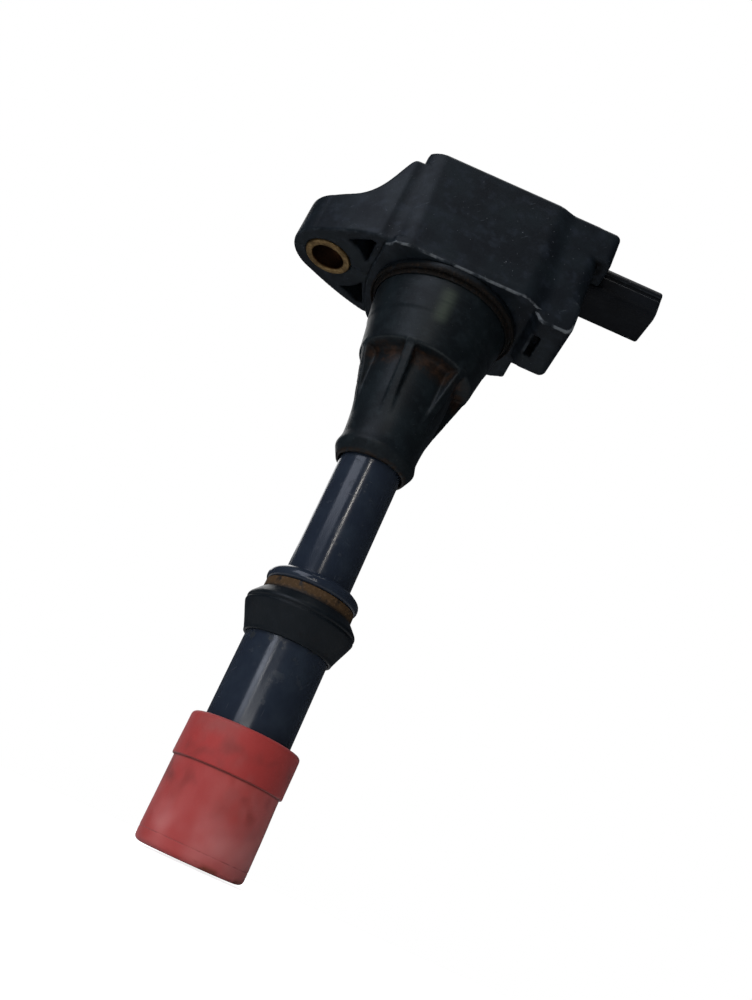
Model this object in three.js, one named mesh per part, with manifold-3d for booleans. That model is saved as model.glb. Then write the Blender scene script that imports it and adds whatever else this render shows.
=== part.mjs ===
// Plug-top ignition coil: a potted head with a bolt ear and a side connector, a ribbed high-tension
// tower, a two-piece extension tube with a well seal, and a silicone boot over the spark plug.
// Millimetres, +Z up along the plug axis. The origin is the middle of the boot's mouth.
import * as THREE from 'three';
import { mergeVertices } from 'three/addons/utils/BufferGeometryUtils.js';
import Module from 'manifold-3d';

const wasm = await Module();
wasm.setup();

// Driving dimensions
const gap = 0.3;                 // clearance between neighbouring pieces
const bootRadius = 10.2;
const bootCollarRadius = 10.7;
const bootCollarBottom = 15.2;
const bootTop = 23.4;
const bootBore = 5.4;            // grips the plug's insulator
const lowerTubeRadius = 8.3;
const lowerTubeBore = 6.9;
const lowerTubeBottom = 9;
const beadRadius = 9.4;          // rolled rim of the lower tube
const beadBottom = 50.8;
const beadTop = 53.6;
const upperTubeRadius = 6.6;
const upperTubeBore = 4.6;
const upperTubeBottom = 36;
const sealBottom = 40.4;
const sealTop = 49.6;
const sealRadius = 11.1;
const neckBottom = 80.4;
const neckRadius = 8.7;
const shoulderHeight = 105;
const shoulderRadius = 12.9;
const coneTopRadius = 15.1;
const towerFlangeTop = 122.2;
const headBottom = 122.5;
const headTop = 149;
const headLeft = -16.6;
const headRight = 26.2;
const headHalfWidth = 14.5;
const overhangRight = 28.8;      // the upper part of the head reaches past the lower part
const overhangBottom = 140.6;
const rimHalfWidth = 16.9;       // the head's lower rim stands out round the tower
const rimHalfLength = 18.3;
const footBottom = 120.3;
const bushX = -28.2;             // bolt axis to plug axis
const bushRadius = 5.3;
const bushBore = 3.6;
const earRadius = 8.3;
const earBottom = 123.3;
const earTop = 133.3;
const connectorEnd = 43.1;
const connectorHalfWidth = 6;
const connectorBottom = 139.5;
const connectorTop = 147.5;
const coilX = 1.4;               // middle of the windings along X
const coilZ = 136.8;
const coilHalfLength = 11;
const resistorBottom = 60;
const resistorTop = 78;
const springBottom = 31.3;
const springTop = 56.9;

const finish = {
  headPlastic: { color: 0x1b1e22, roughness: 0.5, metalness: 0 },
  towerPlastic: { color: 0x1e2124, roughness: 0.5, metalness: 0 },
  tubePlastic: { color: 0x12141c, roughness: 0.15, metalness: 0 },
  sealRubber: { color: 0x17191b, roughness: 0.6, metalness: 0 },
  bootSilicone: { color: 0xb5373b, roughness: 0.7, metalness: 0 },
  brass: { color: 0xb08a4e, roughness: 0.35, metalness: 1 },
  tinnedPin: { color: 0xb9b7b0, roughness: 0.3, metalness: 1 },
  springSteel: { color: 0x9a9a98, roughness: 0.3, metalness: 1 },
  coreSteel: { color: 0x55585c, roughness: 0.5, metalness: 1 },
  magnet: { color: 0x2c2c2e, roughness: 0.6, metalness: 0 },
  bobbin: { color: 0xd8d2c0, roughness: 0.5, metalness: 0 },
  copperWire: { color: 0xa0522a, roughness: 0.35, metalness: 1 },
  resin: { color: 0x101113, roughness: 0.3, metalness: 0 },
  ceramic: { color: 0xd9d4c8, roughness: 0.6, metalness: 0 },
  aluminium: { color: 0xb4b6b8, roughness: 0.4, metalness: 1 },
  chipPlastic: { color: 0x1c1c1e, roughness: 0.55, metalness: 0 },
};

const coil = new THREE.Group();

function addPiece(name, geometry, finishName) {
  const mesh = new THREE.Mesh(geometry, new THREE.MeshStandardMaterial(finish[finishName]));
  mesh.name = name;
  coil.add(mesh);
  return mesh;
}

// A closed mesh as a solid that can be joined and cut.
function toSolid(geometry) {
  const bare = geometry.clone();
  bare.deleteAttribute('normal');
  bare.deleteAttribute('uv');
  const merged = mergeVertices(bare, 1e-4);
  const corners = merged.index.array;
  const kept = [];
  for (let i = 0; i < corners.length; i += 3) {
    const [a, b, c] = [corners[i], corners[i + 1], corners[i + 2]];
    if (a !== b && b !== c && c !== a) kept.push(a, b, c);
  }
  return new wasm.Manifold(new wasm.Mesh({
    numProp: 3,
    vertProperties: new Float32Array(merged.attributes.position.array),
    triVerts: new Uint32Array(kept),
  }));
}

function toGeometry(solid) {
  const mesh = solid.getMesh();
  const geometry = new THREE.BufferGeometry();
  geometry.setAttribute('position', new THREE.BufferAttribute(mesh.vertProperties, 3));
  geometry.setIndex(new THREE.BufferAttribute(mesh.triVerts, 1));
  geometry.computeVertexNormals();
  return geometry;
}

// A piece turned about +Z from [radius, height] points, closed on the axis or on itself.
function turned(points, segments = 32) {
  const profile = points.map(([r, z]) => new THREE.Vector2(r, z));
  if (THREE.ShapeUtils.isClockWise(profile)) profile.reverse();
  if (points[0][0] > 0) profile.push(profile[0].clone());
  return new THREE.LatheGeometry(profile, segments).rotateX(Math.PI / 2);
}

// A tube or ring of constant section.
function ring(inner, outer, bottom, top, segments = 32) {
  return turned([[inner, bottom], [outer, bottom], [outer, top], [inner, top]], segments);
}

function rod(radius, bottom, top, segments = 20) {
  return turned([[0, bottom], [radius, bottom], [radius, top], [0, top]], segments);
}

function block(x, y, z) {
  const geometry = new THREE.BoxGeometry(x[1] - x[0], y[1] - y[0], z[1] - z[0]);
  return geometry.translate((x[0] + x[1]) / 2, (y[0] + y[1]) / 2, (z[0] + z[1]) / 2);
}

// A plan outline in X and Y raised from one height to another.
function raised(shape, bottom, top, curveSegments = 6) {
  const geometry = new THREE.ExtrudeGeometry(shape, { depth: top - bottom, bevelEnabled: false, curveSegments });
  return geometry.translate(0, 0, bottom);
}

// A rectangle with round corners between two X and two Y limits.
function roundedOutline(x, y, radius) {
  const shape = new THREE.Shape();
  shape.absarc(x[1] - radius, y[0] + radius, radius, -Math.PI / 2, 0);
  shape.absarc(x[1] - radius, y[1] - radius, radius, 0, Math.PI / 2);
  shape.absarc(x[0] + radius, y[1] - radius, radius, Math.PI / 2, Math.PI);
  shape.absarc(x[0] + radius, y[0] + radius, radius, Math.PI, 1.5 * Math.PI);
  return shape;
}

// A side outline in X and Z, carried across Y.
function acrossY(shape, y) {
  const geometry = new THREE.ExtrudeGeometry(shape, { depth: y[1] - y[0], bevelEnabled: false, curveSegments: 8 });
  return geometry.rotateX(Math.PI / 2).translate(0, y[1], 0);
}

function outlineOf(points) {
  return new THREE.Shape(points.map(([a, b]) => new THREE.Vector2(a, b)));
}

// An outline in Y and Z, carried along X.
function alongX(shape, x, curveSegments = 6) {
  const geometry = new THREE.ExtrudeGeometry(shape, { depth: x[1] - x[0], bevelEnabled: false, curveSegments });
  return geometry.rotateZ(Math.PI / 2).rotateY(Math.PI / 2).translate(x[0], 0, 0);
}

const wallThickness = 1.6;
const floorTop = 125;            // inside of the head, over the tower
const chamberFloor = 128.5;      // inside of the head, at the connector end
const chamberLeft = 17.1;

// Plan of the bolt ear: a round end about the bush, and straight sides that widen to the head.
function earOutline() {
  const shape = new THREE.Shape();
  const turn = THREE.MathUtils.degToRad(118);
  const arcEnd = [bushX + earRadius * Math.cos(turn), earRadius * Math.sin(turn)];
  const root = headLeft - 1.5;
  const bow = [bushX + 3.7, headHalfWidth - 1.9];
  shape.moveTo(headLeft + 2, headHalfWidth);
  shape.lineTo(root, headHalfWidth);
  shape.quadraticCurveTo(...bow, ...arcEnd);
  shape.absarc(bushX, 0, earRadius, turn, 2 * Math.PI - turn);
  shape.quadraticCurveTo(bow[0], -bow[1], root, -headHalfWidth);
  shape.lineTo(headLeft + 2, -headHalfWidth);
  return shape;
}

// Side view of the ear: flat over the bush, then a hollow curve up to a small ledge on the head.
function earSide() {
  const tip = bushX - earRadius - 1;
  const ledge = headTop - 3.6;
  const ledgeEnd = headLeft - 2;
  const shape = new THREE.Shape();
  shape.moveTo(tip, earBottom);
  shape.lineTo(headLeft + 2, earBottom);
  shape.lineTo(headLeft + 2, ledge);
  shape.lineTo(ledgeEnd, ledge);
  shape.bezierCurveTo(ledgeEnd - 1.9, ledge - 2.9, ledgeEnd - 3.4, earTop + 0.7, ledgeEnd - 8.9, earTop);
  shape.lineTo(tip, earTop);
  return acrossY(shape, [-headHalfWidth - 1, headHalfWidth + 1]);
}

// A pocket under the ear, between the bush's boss and the head; side is 1 or -1 in Y.
function earPocket(side) {
  const bossRadius = 9.6;
  const start = THREE.MathUtils.degToRad(25);
  const end = THREE.MathUtils.degToRad(66);
  const shape = new THREE.Shape();
  shape.absarc(bushX, 0, bossRadius, start, end);
  shape.lineTo(headLeft - 3, headHalfWidth - 2.7);
  shape.lineTo(headLeft - 1.8, headHalfWidth - 3);
  const pocket = raised(shape, earBottom - 1, earBottom + 7, 5);
  return side > 0 ? toSolid(pocket) : toSolid(pocket).mirror([0, 1, 0]);
}

function coilCase() {
  const fullWidth = [-headHalfWidth, headHalfWidth];
  let outer = toSolid(raised(roundedOutline([headLeft, headRight], fullWidth, 2.8), headBottom, headTop));
  const panelTop = headHalfWidth + 1.1;
  const panel = outlineOf([
    [-rimHalfWidth, headBottom], [rimHalfWidth, headBottom], [panelTop, headTop], [-panelTop, headTop],
  ]);
  outer = outer.add(toSolid(alongX(panel, [-12.5, 13.8])));
  const rim = roundedOutline([-rimHalfLength, rimHalfLength], [-rimHalfWidth, rimHalfWidth], 4.5);
  outer = outer.add(toSolid(raised(rim, headBottom, headBottom + 1.8)));
  outer = outer.subtract(toSolid(block([18.6, 40], [4.6, 20], [110, 127])));
  outer = outer.add(toSolid(block([17.6, headRight], [-headHalfWidth, 4.6], [footBottom, chamberFloor])));
  outer = outer.add(toSolid(block([headRight - 1, overhangRight], fullWidth, [overhangBottom, headTop])));
  const ear = toSolid(raised(earOutline(), earBottom, headTop, 10)).intersect(toSolid(earSide()));
  outer = outer.add(ear);

  const cuts = [
    block([headLeft + 1.7, chamberLeft], [-12.8, 12.8], [floorTop, headTop + 1]),
    block([chamberLeft - 1, headRight - wallThickness], [-12.8, 12.8], [chamberFloor, headTop + 1]),
    rod(12.7, headBottom - 1, floorTop + 1, 40),
    rod(bushRadius + gap, earBottom - 1, earTop + 1).translate(bushX, 0, 0),
    block([headRight - 2, overhangRight + 1], [-connectorHalfWidth - gap, connectorHalfWidth + gap],
      [connectorBottom - gap, connectorTop + gap]),
    block([19.6, 21.2], [-8.9, -0.5], [footBottom - 1, footBottom + 3.2]),
  ];
  for (const cut of cuts) outer = outer.subtract(toSolid(cut));
  return toGeometry(outer.subtract(earPocket(1)).subtract(earPocket(-1)));
}

// The tower: neck, waist, ribbed core, shoulder and cone, bored for the tube and the terminal.
function hvTower() {
  const bowlRadius = 10.8;
  const tubeSocketTop = 92;
  const body = toSolid(turned([
    [upperTubeRadius + gap, neckBottom], [neckRadius - 1.2, neckBottom], [neckRadius - 0.1, neckBottom + 3.4],
    [neckRadius, neckBottom + 4.6], [neckRadius - 0.5, neckBottom + 7], [neckRadius, 91],
    [9.4, 96], [9.6, shoulderHeight - 0.6], [shoulderRadius, shoulderHeight], [13.05, 107],
    [coneTopRadius, 119.4], [coneTopRadius, towerFlangeTop], [12.4, towerFlangeTop], [12.4, floorTop - 0.4],
    [bowlRadius, floorTop - 0.4], [bowlRadius, 115], [3, 111], [3, tubeSocketTop + 4],
    [4.4, tubeSocketTop + 2], [4.4, tubeSocketTop], [upperTubeRadius + gap, tubeSocketTop],
  ], 40));
  const ribBottom = 90.5;
  const ribTop = shoulderHeight + 0.6;
  const ribShape = outlineOf([[8, ribBottom], [9.3, ribBottom], [shoulderRadius - 0.1, ribTop], [8, ribTop]]);
  const ribWidth = 2;
  const firstRib = -104;
  let tower = body;
  for (let i = 0; i < 6; i += 1) {
    const rib = acrossY(ribShape, [-ribWidth / 2, ribWidth / 2]);
    tower = tower.add(toSolid(rib.rotateZ(THREE.MathUtils.degToRad(firstRib + 60 * i))));
  }
  return toGeometry(tower);
}

// The boot: a grip sleeve on the plug's insulator and a skirt with a collar over the lower tube.
function sparkPlugBoot() {
  const rimRound = 1.9;
  return turned([
    [bootBore + 1.4, 0], [bootRadius - rimRound, 0], [bootRadius - 0.65, 0.65], [bootRadius, rimRound],
    [bootRadius, bootCollarBottom], [bootCollarRadius, bootCollarBottom + 0.4], [bootCollarRadius, bootTop - 0.8],
    [bootCollarRadius - 0.8, bootTop], [lowerTubeRadius + gap, bootTop], [lowerTubeRadius + gap, lowerTubeBottom - gap],
    [lowerTubeBore - gap, lowerTubeBottom - gap], [lowerTubeBore - gap, 33], [bootBore, 33], [bootBore, 1.8],
  ], 48);
}

function lowerTube() {
  const beadMiddle = (beadBottom + beadTop) / 2;
  return turned([
    [lowerTubeBore, lowerTubeBottom], [lowerTubeRadius, lowerTubeBottom], [lowerTubeRadius, beadBottom],
    [beadRadius - 0.5, beadBottom], [beadRadius, beadMiddle - 0.5], [beadRadius, beadMiddle + 0.5],
    [beadRadius - 0.6, beadTop], [lowerTubeBore, beadTop],
  ], 40);
}

function midSeal() {
  const bore = lowerTubeRadius + gap;
  return turned([
    [bore, sealBottom], [bore + 0.4, sealBottom], [9.9, sealBottom + 2.5], [10.7, sealBottom + 4.2],
    [sealRadius, sealBottom + 5.7], [10.9, sealBottom + 7.2], [9.9, sealTop - 0.4], [bore, sealTop],
  ], 40);
}

// The ring that closes the plug well, round the top of the cone.
function plugWellSeal() {
  const bore = coneTopRadius + gap;
  return turned([
    [bore, towerFlangeTop], [bore, 120.4], [bore + 0.6, 120.4], [16.4, 120.9], [16.7, 121.6], [16.7, towerFlangeTop],
  ], 48);
}

function connectorShroud() {
  const back = headRight - wallThickness + gap;
  const sides = [-connectorHalfWidth, connectorHalfWidth];
  const heights = [connectorBottom, connectorTop];
  let shroud = toSolid(alongX(roundedOutline(sides, heights, 1.2), [back, connectorEnd]));
  const wall = 1.2;
  shroud = shroud.subtract(toSolid(block([31, connectorEnd + 1], [sides[0] + wall, sides[1] - wall],
    [heights[0] + wall, heights[1] - wall])));
  for (const y of sides) {
    const grooveZ = connectorTop - 2.6;
    shroud = shroud.subtract(toSolid(block([29.5, connectorEnd + 1], [y - 0.5, y + 0.5], [grooveZ - 0.35, grooveZ + 0.35])));
  }
  for (const y of pinPlaces) {
    shroud = shroud.subtract(toSolid(block([back - 1, 32], [y - 0.65, y + 0.65], [pinZ - 0.7, pinZ + 0.7])));
  }
  return toGeometry(shroud);
}

const pinPlaces = [-3, 0, 3];
const pinZ = (connectorBottom + connectorTop) / 2;

// An L-shaped terminal: up from the module, then out into the connector.
function terminalPin(y) {
  const [foot, tip, thick, width] = [21, 38.5, 0.8, 0.7];
  const line = [
    [foot, 140], [foot + thick, 140], [foot + thick, pinZ - thick / 2], [tip, pinZ - thick / 2],
    [tip, pinZ + thick / 2], [foot, pinZ + thick / 2],
  ];
  return acrossY(outlineOf(line), [y - width / 2, y + width / 2]);
}

// The closed lamination frame round the windings, lying flat.
function outerCore() {
  const outline = roundedOutline([coilX - 15.9, coilX + 15.9], [-12.4, 12.4], 1);
  const frame = toSolid(raised(outline, coilZ - 3.4, coilZ + 3.4, 3));
  return toGeometry(frame.subtract(toSolid(block([coilX - 12.6, coilX + 12.6], [-9, 9], [coilZ - 5, coilZ + 5]))));
}

// Puts a piece turned about Z on the windings' own axis, along X.
function onCoilAxis(mesh) {
  mesh.rotation.y = Math.PI / 2;
  mesh.position.set(coilX, 0, coilZ);
}

const flange = 0.9;
function primaryBobbin() {
  const end = coilHalfLength;
  return turned([
    [4.6, -end], [6.6, -end], [6.6, -end + flange], [5.2, -end + flange],
    [5.2, end - flange], [6.6, end - flange], [6.6, end], [4.6, end],
  ], 28);
}

// A thin former with fins that part the secondary winding into sections.
const sectionCount = 5;
const sectionPitch = (2 * coilHalfLength - flange) / sectionCount;
function secondaryBobbin() {
  const [inner, floor, fin] = [7, 7.4, 8.6];
  const points = [[inner, -coilHalfLength]];
  for (let i = 0; i <= sectionCount; i += 1) {
    const start = -coilHalfLength + i * sectionPitch;
    if (i > 0) points.push([floor, start]);
    points.push([fin, start], [fin, start + flange]);
    if (i < sectionCount) points.push([floor, start + flange]);
  }
  points.push([inner, coilHalfLength]);
  return turned(points, 28);
}

// The contact spring: an open helix with its ends laid flat.
class SpringLine extends THREE.Curve {
  constructor(radius, bottom, top, turns) {
    super();
    Object.assign(this, { radius, bottom, top, turns });
  }

  getPoint(t, target = new THREE.Vector3()) {
    const angle = t * this.turns * 2 * Math.PI;
    const rise = THREE.MathUtils.smoothstep(t, -0.02, 1.02);
    const lift = THREE.MathUtils.lerp(t, rise, 0.35);
    const low = THREE.MathUtils.lerp(0, 1, lift);
    return target.set(this.radius * Math.cos(angle), this.radius * Math.sin(angle),
      this.bottom + (this.top - this.bottom) * low);
  }
}

function contactSpring() {
  const wire = 0.4;
  const turns = 12;
  const line = new SpringLine(3, springBottom + wire, springTop - wire, turns);
  const section = new THREE.Shape().absarc(0, 0, wire, 0, 2 * Math.PI);
  return new THREE.ExtrudeGeometry(section, {
    steps: turns * 14, extrudePath: line, curveSegments: 3, bevelEnabled: false,
  });
}

// The cured resin that closes the open top of the head.
function pottingSlab() {
  return block([headLeft + 2, headRight - wallThickness - gap], [-12.5, 12.5], [headTop - 3, headTop - 0.8]);
}

// Head
addPiece('coil_case', coilCase(), 'headPlastic');
addPiece('mounting_bush', ring(bushBore, bushRadius, earBottom - gap, earTop + gap), 'brass').position.x = bushX;
addPiece('potting_resin', pottingSlab(), 'resin');
addPiece('connector_shroud', connectorShroud(), 'headPlastic');
pinPlaces.forEach((y, i) => addPiece(`terminal_pin_${i + 1}`, terminalPin(y), 'tinnedPin'));
addPiece('igniter_module', block([20.1, 23.6], [-7, 7], [129.2, 139.7]), 'chipPlastic');
addPiece('heat_sink', block([18.4, 19.8], [-8, 8], [129.2, 142.5]), 'aluminium');

// Magnetic circuit and windings
addPiece('outer_core', outerCore(), 'coreSteel');
addPiece('centre_core', block([coilX - 12.3, coilX + 10.9], [-3, 3], [coilZ - 3, coilZ + 3]), 'coreSteel');
addPiece('core_magnet', block([coilX + 11.2, coilX + 12.3], [-3, 3], [coilZ - 3, coilZ + 3]), 'magnet');
onCoilAxis(addPiece('primary_bobbin', primaryBobbin(), 'bobbin'));
const woundEnd = coilHalfLength - flange - gap;
onCoilAxis(addPiece('primary_winding', ring(5.5, 6.5, -woundEnd, woundEnd, 28), 'copperWire'));
onCoilAxis(addPiece('secondary_bobbin', secondaryBobbin(), 'bobbin'));
for (let i = 0; i < sectionCount; i += 1) {
  const start = -coilHalfLength + i * sectionPitch + flange + gap;
  const winding = ring(7.7, 8.4, start, start + sectionPitch - flange - 2 * gap, 28);
  onCoilAxis(addPiece(`secondary_winding_${i + 1}`, winding, 'copperWire'));
}

// High-tension path
addPiece('hv_tower', hvTower(), 'towerPlastic');
addPiece('plug_well_seal', plugWellSeal(), 'sealRubber');
addPiece('hv_link', block([-2, 2], [-1.2, 1.2], [121.3, 127.8]), 'brass');
addPiece('hv_terminal', turned([[0, 81.1], [2, 81.1], [2, 118], [4, 118], [4, 121], [0, 121]], 20), 'brass');
addPiece('resistor_cap_upper', rod(3.4, resistorTop + gap, 80.8), 'brass');
addPiece('noise_resistor', rod(3, resistorBottom, resistorTop), 'ceramic');
addPiece('resistor_cap_lower', rod(3.4, springTop + gap, resistorBottom - gap), 'brass');
addPiece('contact_spring', contactSpring(), 'springSteel');
addPiece('contact_tip', turned([[0, 27], [2.4, 27], [3.6, 28], [3.6, springBottom - gap], [0, springBottom - gap]], 24), 'brass');

// Extension tube, seals and boot
addPiece('upper_tube', ring(upperTubeBore, upperTubeRadius, upperTubeBottom, 91.7, 40), 'tubePlastic');
addPiece('lower_tube', lowerTube(), 'tubePlastic');
addPiece('mid_seal', midSeal(), 'sealRubber');
addPiece('spark_plug_boot', sparkPlugBoot(), 'bootSilicone');

export default coil;
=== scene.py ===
import math

import bmesh
import bpy
import numpy as np
from mathutils import Matrix, Vector


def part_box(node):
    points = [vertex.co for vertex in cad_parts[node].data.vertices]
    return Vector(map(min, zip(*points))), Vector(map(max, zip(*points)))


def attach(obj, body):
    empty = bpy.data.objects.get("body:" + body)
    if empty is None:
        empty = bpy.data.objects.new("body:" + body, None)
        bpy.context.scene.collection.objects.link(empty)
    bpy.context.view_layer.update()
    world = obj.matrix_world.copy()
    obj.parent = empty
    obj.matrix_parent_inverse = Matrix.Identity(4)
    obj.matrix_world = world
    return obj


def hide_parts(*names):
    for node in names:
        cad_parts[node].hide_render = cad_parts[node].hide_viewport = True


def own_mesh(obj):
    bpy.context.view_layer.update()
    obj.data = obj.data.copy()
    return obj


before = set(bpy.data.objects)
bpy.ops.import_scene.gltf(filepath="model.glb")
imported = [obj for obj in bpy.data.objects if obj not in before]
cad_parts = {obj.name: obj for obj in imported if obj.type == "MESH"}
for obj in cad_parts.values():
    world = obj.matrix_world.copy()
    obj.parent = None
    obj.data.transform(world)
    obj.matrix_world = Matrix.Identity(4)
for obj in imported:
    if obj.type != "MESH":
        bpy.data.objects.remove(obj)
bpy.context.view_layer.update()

# Plug-top ignition coil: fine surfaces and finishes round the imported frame.
print("frame loaded:", len(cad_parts), "packed pieces")

millimetre = 0.001


def reach(node):
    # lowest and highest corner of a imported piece, in millimetres
    low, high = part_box(node)
    return np.array(low) / millimetre, np.array(high) / millimetre


def addPiece(name, points, quads, material, slot, replaced, body="coil_body", marks=None):
    # points in millimetres, four corners to a face; doubled points at a pole are merged
    mesh = bpy.data.meshes.new(name)
    mesh.vertices.add(len(points))
    mesh.vertices.foreach_set("co", (points * millimetre).astype(np.float32).ravel())
    mesh.loops.add(quads.size)
    mesh.loops.foreach_set("vertex_index", quads.astype(np.int32).ravel())
    mesh.polygons.add(len(quads))
    mesh.polygons.foreach_set("loop_start", np.arange(0, quads.size, 4, dtype=np.int32))
    mesh.update(calc_edges=True)
    for mark, values in (marks or {}).items():
        mesh.attributes.new(mark, "FLOAT", "POINT").data.foreach_set("value", values.astype(np.float32))
    work = bmesh.new()
    work.from_mesh(mesh)
    bmesh.ops.remove_doubles(work, verts=work.verts, dist=2e-7)
    bmesh.ops.delete(work, geom=[edge for edge in work.edges if not edge.link_faces], context="EDGES")
    for face in work.faces:
        face.smooth = True
    work.to_mesh(mesh)
    work.free()
    mesh.materials.append(material)
    piece = bpy.data.objects.new(name, mesh)
    bpy.context.scene.collection.objects.link(piece)
    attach(piece, body)
    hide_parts(*replaced)
    print("made", name, len(mesh.polygons), "faces")
    return piece


def eased(corners, steps=5, spacing=1.0):
    # A closed outline from [u, v, round] corners. Each corner P is cut back by its round to A and B on its
    # two sides and bridged by (1-t)^2 A + 2t(1-t) P + t^2 B. Long sides then get points every spacing.
    given = np.array(corners, float)
    corner, cut = given[:, :2], given[:, 2:]
    before, after = np.roll(corner, 1, 0) - corner, np.roll(corner, -1, 0) - corner
    longBefore = np.linalg.norm(before, axis=1, keepdims=True)
    longAfter = np.linalg.norm(after, axis=1, keepdims=True)
    start = corner + before / longBefore * np.minimum(cut, longBefore * 0.49)
    end = corner + after / longAfter * np.minimum(cut, longAfter * 0.49)
    t = np.linspace(0, 1, steps)[None, :, None]
    curve = (1 - t) ** 2 * start[:, None] + 2 * t * (1 - t) * corner[:, None] + t * t * end[:, None]
    line = np.where(cut[:, None] > 0, curve, np.nan * curve)
    line[:, 0] = start
    line = line.reshape(-1, 2)
    line = line[~np.isnan(line[:, 0])]
    closed = np.vstack([line, line[:1]])
    along = np.concatenate([[0], np.cumsum(np.linalg.norm(np.diff(closed, axis=0), axis=1))])
    stops = np.unique(np.round(np.concatenate([along[:-1], np.arange(0, along[-1], spacing)]), 4))
    near = np.min(np.abs(stops[:, None] - along[None, :-1]), axis=1)
    stops = stops[(near < 1e-3) | (near > spacing * 0.3)]
    return np.stack([np.interp(stops, along, closed[:, 0]), np.interp(stops, along, closed[:, 1])], 1)


def turned(outline, count=160, centre=(0, 0), wander=None):
    # The closed outline [r, z] carried round a vertical axis: x = r cos a, y = r sin a, z = z.
    # wander(a, z) is a small change of radius, for soft pieces that aren't quite round.
    area = np.sum(outline[:, 0] * np.roll(outline[:, 1], -1) - np.roll(outline[:, 0], -1) * outline[:, 1])
    outline = outline if area > 0 else outline[::-1]
    angle = np.linspace(0, 2 * np.pi, count, endpoint=False)[:, None]
    r, z = np.broadcast_arrays(outline[None, :, 0], outline[None, :, 1] + 0 * angle)
    if wander:
        r = r + wander(angle, z) * (r > 0)
    points = np.stack([centre[0] + r * np.cos(angle), centre[1] + r * np.sin(angle), z], -1)
    return points.reshape(-1, 3), woven(count, len(outline))


def woven(rows, columns, closedRows=True):
    # the faces of a grid of rows by columns points that closes on itself
    index = np.arange(rows * columns).reshape(rows, columns)
    onward = np.roll(index, -1, 0)
    quads = np.stack([index, onward, np.roll(onward, -1, 1), np.roll(index, -1, 1)], -1)
    return (quads if closedRows else quads[:-1]).reshape(-1, 4)


def rounded(*walls, edge=0.5):
    # Where several walls meet at right angles, each given by how far outside it a point is, the meeting
    # edges are rounded: the length of the parts above -edge, less edge.
    raised = [wall + edge for wall in walls]
    outside = np.sqrt(sum(np.maximum(wall, 0) ** 2 for wall in raised))
    deepest = raised[0]
    for wall in raised[1:]:
        deepest = np.maximum(deepest, wall)
    return outside + np.minimum(deepest, 0) - edge


def between(value, low, high):
    # how far a value is outside the stretch from low to high
    return np.abs(value - (low + high) / 2) - (high - low) / 2


def melt(one, other, soft):
    # the lesser of two distances, with the corner between them filled over a width of soft
    overlap = np.maximum(soft - np.abs(one - other), 0) / soft
    return np.minimum(one, other) - overlap * overlap * soft / 4


def carve(solid, tool, soft=0.3):
    # the solid less the tool, with the new edge softened
    return -melt(-solid, tool, soft)


def outlineDistance(corners, u, v):
    # Signed distance to a closed outline: the least distance to its sides, and negative where a line
    # drawn to the left crosses an odd number of them.
    least = np.inf
    inside = False
    for (uA, vA), (uB, vB) in zip(corners, np.roll(corners, -1, 0)):
        du, dv = uB - uA, vB - vA
        t = np.clip(((u - uA) * du + (v - vA) * dv) / (du * du + dv * dv), 0, 1)
        least = np.minimum(least, (u - uA - t * du) ** 2 + (v - vA - t * dv) ** 2)
        slope = du / dv if abs(dv) > 1e-9 else 0
        inside = inside ^ (((vA > v) != (vB > v)) & (u < slope * (v - vA) + uA))
    return np.where(inside, -1, 1) * np.sqrt(least)


def skin(distance, low, high, pitch):
    # The surface where distance(x, y, z) is zero. Each cell of a lattice that it crosses gets one point, at
    # the mean of the crossings on the cell's edges, and each crossed edge joins its four cells in a face.
    # The points are then moved along the slope of distance until they lie on the surface.
    axes = [np.arange(a - 2.5 * pitch, b + 3 * pitch, pitch) for a, b in zip(low, high)]
    sizes = np.array([len(axis) for axis in axes])
    field = distance(axes[0][:, None, None], axes[1][None, :, None], axes[2][None, None, :])
    field = np.broadcast_to(field, sizes).astype(float)
    total, hits, faces = np.zeros((sizes.prod(), 3)), np.zeros(sizes.prod()), []
    for axis in range(3):
        others = [(axis + 1) % 3, (axis + 2) % 3]
        here = np.moveaxis(field, axis, 0)
        step = np.argwhere((here[:-1] < 0) != (here[1:] < 0))
        first, second = here[tuple(step.T)], here[tuple((step + [1, 0, 0]).T)]
        lattice = np.empty_like(step)
        lattice[:, axis] = step[:, 0]
        rest = [k for k in range(3) if k != axis]
        lattice[:, rest] = step[:, 1:]
        crossing = lattice.astype(float)
        crossing[:, axis] += first / (first - second)
        back, side = np.eye(3, dtype=int)[others]
        cells = [lattice - back - side, lattice - side, lattice, lattice - back]
        cells = [np.ravel_multi_index(tuple(cell.T), tuple(sizes)) for cell in cells]
        for cell in cells:
            hits += np.bincount(cell, minlength=len(hits))
            for k in range(3):
                total[:, k] += np.bincount(cell, crossing[:, k], minlength=len(hits))
        quad = np.stack(cells, 1)
        faces.append(np.where((first < 0)[:, None], quad, quad[:, ::-1]))
    used = hits > 0
    number = np.cumsum(used) - 1
    points = total[used] / hits[used, None] * pitch + [axis[0] for axis in axes]
    quads = number[np.vstack(faces)]
    for i in range(4):
        slope = slopeOf(distance, points, pitch * 0.1)
        steep = np.maximum(np.sum(slope * slope, 1), 0.2)
        move = distance(*points.T) / steep
        points = points - slope * np.clip(move, -pitch * 0.3, pitch * 0.3)[:, None]
    return points, quads


def slopeOf(distance, points, step):
    # along each axis, the distance one step ahead less that one step behind, over two steps
    shifts = np.eye(3) * step
    rises = [distance(*(points + shift).T) - distance(*(points - shift).T) for shift in shifts]
    return np.stack(rises, 1) / (2 * step)


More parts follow.
